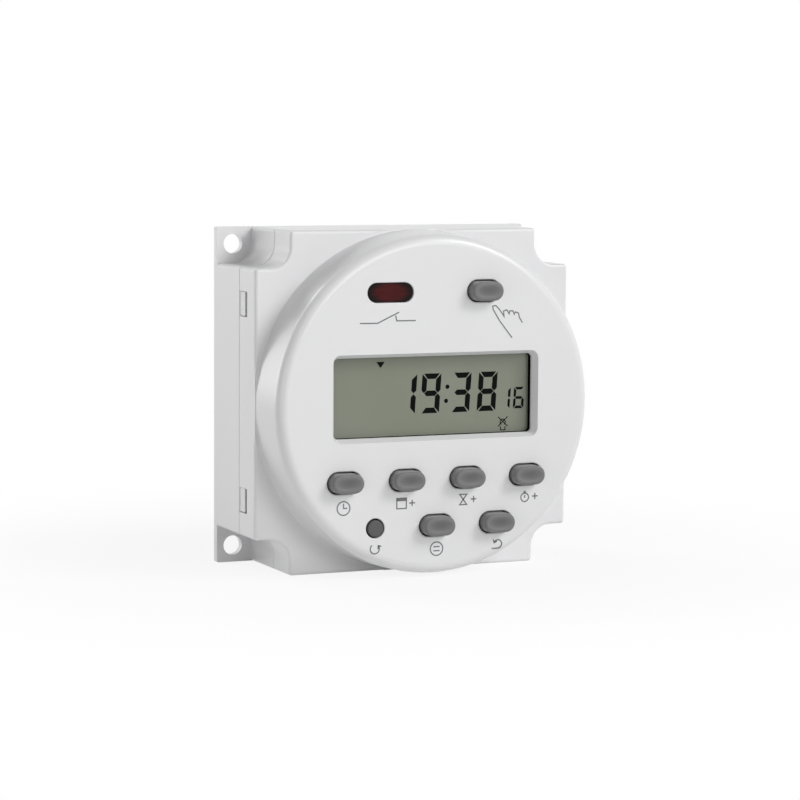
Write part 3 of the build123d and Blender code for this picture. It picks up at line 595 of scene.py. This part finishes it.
def dot(centre, radius):
    """Round dot of the display: a closed ring whose inner edge has no width."""
    rim = circle(centre, radius, 32)
    return plate(rim, np.broadcast_to(np.array(centre, float), rim.shape), film_y, closed=True)


def pointer(centre):
    """Small filled triangle of the display that points down."""
    top = [(-0.8, 0.5), (0.8, 0.5)]
    tip = [(-0.05, -0.5), (0.05, -0.5)]
    return plate(moved(centre, top), moved(centre, tip), film_y)


def lamp_sign(centre):
    """Sign of the display: a lamp's bulb and socket, crossed out."""
    socket = [(-0.45, -0.75), (-0.45, -1.4), (0.45, -1.4), (0.45, -0.75)]
    bulb = arc((0, 0), 0.5, -60, 240)
    rising = [(0.95, 0.95), (-0.95, -0.75)]
    falling = [(-0.95, 0.95), (0.95, -0.75)]
    paths = (socket, bulb, rising, falling)
    return [line(moved(centre, path), thin_line, film_y) for path in paths]


def display_marks():
    """Everything that the display shows: the time, the seconds and two small signs."""
    plates = []
    for centre, character in digit_centres.items():
        plates += digit(character, centre, digit_width, digit_low, digit_high, digit_stroke)
    for centre, character in seconds_centres.items():
        plates += digit(
            character, centre, seconds_width, seconds_low, seconds_high, seconds_stroke
        )
    plates += [dot(centre, colon_radius) for centre in colon_dots]
    plates.append(pointer(pointer_place))
    plates += lamp_sign(lamp_place)
    plates_on_housing("display_marks", plates, segment_and_shadow_black())


def rounded_window(grown):
    """Outline of the display's opening, grown all round: a quarter circle at each corner."""
    half = np.array(window_half) + grown
    radius = window_round + grown
    corners = {0: (1, 1), 90: (-1, 1), 180: (-1, -1), 270: (1, -1)}
    quarters = []
    for turn, corner in corners.items():
        middle = moved(window_centre, (half - radius) * np.array(corner))
        quarters.append(arc(middle, radius, turn, turn + 90, 9))
    return np.vstack(quarters)


def painted_display_shadow():
    """Painted shadow round the shown field: a black band on the film for the shade in the gap
    behind the opening's edge, seen from the side past that edge.
    """
    edges = [rounded_window(-shadow_lap), rounded_window(shadow_width)]
    plates_on_housing("painted_display_shadow", [plate(*edges, film_y, closed=True)], segment_and_shadow_black())


def ring(centre, radius=icon_radius):
    """Circle drawn as one closed line."""
    return line(circle(centre, radius), closed=True)


def contact_sign():
    """Beside the lens: the blade of an open contact between its two wires."""
    return [
        line([(-14.60, 14.45), (-11.31, 14.40), (-7.29, 16.23)]),
        line([(-7.94, 15.68), (-7.74, 14.75), (-4.15, 14.72)]),
    ]


def clock_sign(centre):
    """Clock: a dial with two hands."""
    return [ring(centre), line(moved(centre, [(0, 0.85), (0, 0), (0.7, 0)]))]


def plus_sign(centre):
    """Two crossed lines."""
    level = [(-plus_reach, 0), (plus_reach, 0)]
    upright = [(0, -plus_reach), (0, plus_reach)]
    return [line(moved(centre, level)), line(moved(centre, upright))]


def sheet_sign(centre):
    """Day: a calendar sheet with a bold head line."""
    half = sign_height / 2
    corners = [(-half, -half), (half, -half), (half, half), (-half, half)]
    head = [(-half, half - 0.3), (half, half - 0.3)]
    return [line(moved(centre, corners), closed=True), line(moved(centre, head), bold_line)]


def glass_sign(centre):
    """Hour: an hourglass of two triangles."""
    half = sign_height / 2
    side = 0.75 * half
    path = [(-side, half), (side, half), (-side, -half), (side, -half)]
    return [line(moved(centre, path), closed=True)]


def watch_sign(centre):
    """Minute: a stopwatch with its knob and one hand."""
    return [
        ring(moved(centre, (0, -0.15)), 0.75),
        line(moved(centre, [(0, 0.6), (0, 1.0)]), bold_line),
        line(moved(centre, [(0, -0.25), (0, 0.25)])),
    ]


def turning_arrow(centre, radius, start, end):
    """Arc with an arrow head at its end, whose two barbs go back 40 degrees to each side."""
    swept = arc((0, 0), radius, start, end, 33)
    heading = swept[-1] - swept[-2]
    heading /= np.linalg.norm(heading)
    barbs = []
    for turn in np.radians([-140, 140]):
        back = [heading @ (np.cos(turn), -np.sin(turn)), heading @ (np.sin(turn), np.cos(turn))]
        barbs.append(swept[-1] + barb_length * np.array(back))
    head = [barbs[0], swept[-1], barbs[1]]
    return [line(moved(centre, swept)), line(moved(centre, head))]


def bars_sign(centre):
    """Program: two bars in a ring."""
    bars = [line(moved(centre, [(-0.6, z), (0.6, z)])) for z in (-0.35, 0.35)]
    return [ring(centre), *bars]


def return_sign(centre):
    """Recall: an arrow that turns back over a level tail."""
    tail = line(moved(centre, [(0, -0.75), (-1.2, -0.75)]))
    return [*turning_arrow(centre, 0.75, -90, 160), tail]


def hand_sign(centre):
    """Outline of a hand that points up to the left at the key above it."""
    outline = [
        (1.3, -3.3), (-1.2, -0.2), (-2.4, 1.7), (-2.5, 2.3), (-1.9, 2.4), (-1.2, 1.7), (-0.3, 0.5),
        (-0.4, 1.4), (0.2, 1.6), (0.7, 0.9), (0.8, 1.4), (1.4, 1.4), (1.7, 0.8), (1.9, 1.2),
        (2.5, 1.0), (2.7, 0.2), (3.3, -0.7),
    ]
    return [line(moved(centre, outline))]


def face_marks():
    """Marks printed on the face: a contact sign, a pointing hand and a sign under each key."""
    plates = contact_sign() + clock_sign(clock_place)
    signs = {"day": sheet_sign, "hour": glass_sign, "minute": watch_sign}
    for name, sign in signs.items():
        plates += sign(moved(pair_places[name], sign_beside))
        plates += plus_sign(moved(pair_places[name], plus_beside))
    plates += turning_arrow(reset_place, 0.85, 130, 400)
    plates += bars_sign(program_place)
    plates += return_sign(recall_place)
    plates += hand_sign(hand_place)
    plates_on_housing("face_marks", plates, printing_ink())


def key_web(key):
    """Soft skirt between a key and its mat, as one closed grid. Its
    profile climbs the outside from the mat to the key's flange and comes back down the inside. Each
    level of it is a stadium: the middle of the nearer end plus the radius there times (cosine,
    sine) of each point's angle."""
    low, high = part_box(key)
    flange_y, mat_y = [corner.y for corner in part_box("key_webs")]
    radius = (high.z - low.z) / 2
    run = (high.x - low.x) / 2 - radius
    climb = np.linspace(0, 1, web_levels)
    outside = web_foot + (web_top - web_foot) * climb
    growth = np.concatenate([outside, outside[::-1] - web_thickness])
    depth = mat_y + (flange_y - mat_y) * np.concatenate([climb, climb[::-1]])
    angles = 2 * np.pi * (np.arange(web_points) + 0.5) / web_points
    reach = (radius + growth)[:, None]
    x = (low.x + high.x) / 2 + run * np.sign(np.cos(angles)) + reach * np.cos(angles)
    z = (low.z + high.z) / 2 + reach * np.sin(angles)
    y = np.broadcast_to(depth[:, None], x.shape)
    points = np.stack([x, y, z], axis=-1).reshape(-1, 3)
    index = np.arange(len(points)).reshape(x.shape)
    beside, above = np.roll(index, -1, axis=1), np.roll(index, -1, axis=0)
    faces = np.stack([index, beside, np.roll(above, -1, axis=1), above], axis=-1)
    web = add_mesh(f"{key}_web", points, faces.reshape(-1, 4), finishes["key_silicone"])
    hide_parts("key_webs")
    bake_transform(web)


display_marks()
painted_display_shadow()
face_marks()
for body, nodes in frame["record"]["behaviour"]["bodies"].items():
    for key in [name for name in nodes if name.endswith("_key")]:
        key_web(key)


def background_rays(tree):
    """Socket that is 1 for the rays that show the white background: what the camera sees directly,
    in gloss or through glass."""
    rays = add_node(tree, "ShaderNodeLightPath")
    seen = rays.outputs["Is Camera Ray"]
    for kind in ("Is Glossy Ray", "Is Transmission Ray"):
        either = {0: seen, 1: rays.outputs[kind]}
        seen = add_node(tree, "ShaderNodeMath", {"operation": "MAXIMUM"}, either).outputs["Value"]
    return seen


def studio_floor():
    """Pale floor that keeps the shadow near the object and fades to the white background."""
    made = bpy.data.materials.new("studio_floor")
    made.use_nodes = True
    tree = made.node_tree
    tree.nodes.clear()
    place = add_node(tree, "ShaderNodeTexCoord")
    distance = add_node(
        tree, "ShaderNodeVectorMath", {"operation": "LENGTH"}, {0: place.outputs["Object"]}
    )
    fade = add_node(
        tree,
        "ShaderNodeMapRange",
        {
            "interpolation_type": "SMOOTHSTEP",
            "From Min": fade_start,
            "From Max": fade_end,
            "To Min": white_near,
        },
        {"Value": distance.outputs["Value"]},
    )
    share = add_node(
        tree,
        "ShaderNodeMath",
        {"operation": "MULTIPLY"},
        {0: fade.outputs["Result"], 1: background_rays(tree)},
    )
    matt = add_node(tree, "ShaderNodeBsdfDiffuse", {"Color": linear("f4f4f4")})
    white = add_node(tree, "ShaderNodeEmission")
    mixed = add_node(
        tree,
        "ShaderNodeMixShader",
        {},
        {0: share.outputs["Value"], 1: matt.outputs["BSDF"], 2: white.outputs["Emission"]},
    )
    add_node(tree, "ShaderNodeOutputMaterial", {}, {"Surface": mixed.outputs["Shader"]})
    return made


def build_floor():
    """Flat square floor under the object."""
    corners = floor_half * np.array([(-1, -1), (1, -1), (1, 1), (-1, 1)])
    points = np.column_stack([corners, np.full(len(corners), floor_z)])
    add_mesh("floor", points, np.array([[0, 1, 2, 3]]), studio_floor())


def add_lamp(name, place, width, power):
    """Square soft lamp that points at the object."""
    data = bpy.data.lights.new(name, "AREA")
    data.size = width
    data.energy = power
    lamp = bpy.data.objects.new(name, data)
    lamp.location = place
    lamp.rotation_mode = "QUATERNION"
    lamp.rotation_quaternion = (-Vector(place)).to_track_quat("-Z", "Y")
    bpy.context.scene.collection.objects.link(lamp)


def light_studio():
    """Even pale surroundings and the lamps. The surroundings look white and light weakly."""
    world = bpy.data.worlds.new("studio")
    bpy.context.scene.world = world
    world.use_nodes = True
    tree = world.node_tree
    shown = tree.nodes["Background"]
    strength = add_node(
        tree,
        "ShaderNodeMapRange",
        {"To Min": surrounding_light, "To Max": 1.0},
        {"Value": background_rays(tree)},
    )
    tree.links.new(strength.outputs["Result"], shown.inputs["Strength"])
    shown.inputs["Color"].default_value = (1.0, 1.0, 1.0, 1.0)
    for name, settings in lamps.items():
        add_lamp(name, *settings)


def place_camera():
    """Camera at the photograph's angle, a little left of the front and a little above it."""
    yaw, pitch, roll = np.radians([camera_yaw, camera_pitch, camera_roll])
    level = math.cos(pitch)
    away = Vector((-math.sin(yaw) * level, -math.cos(yaw) * level, math.sin(pitch)))
    data = bpy.data.cameras.new("camera")
    data.lens = camera_lens
    data.sensor_width = camera_sensor
    data.clip_start = camera_clip
    camera = bpy.data.objects.new("camera", data)
    camera.location = Vector(camera_target) + camera_distance * away
    camera.rotation_mode = "QUATERNION"
    camera.rotation_quaternion = (-away).to_track_quat("-Z", "Y") @ Quaternion((0, 0, 1), roll)
    bpy.context.scene.collection.objects.link(camera)
    bpy.context.scene.camera = camera


build_floor()
light_studio()
place_camera()
bpy.context.scene.view_settings.view_transform = "Standard"
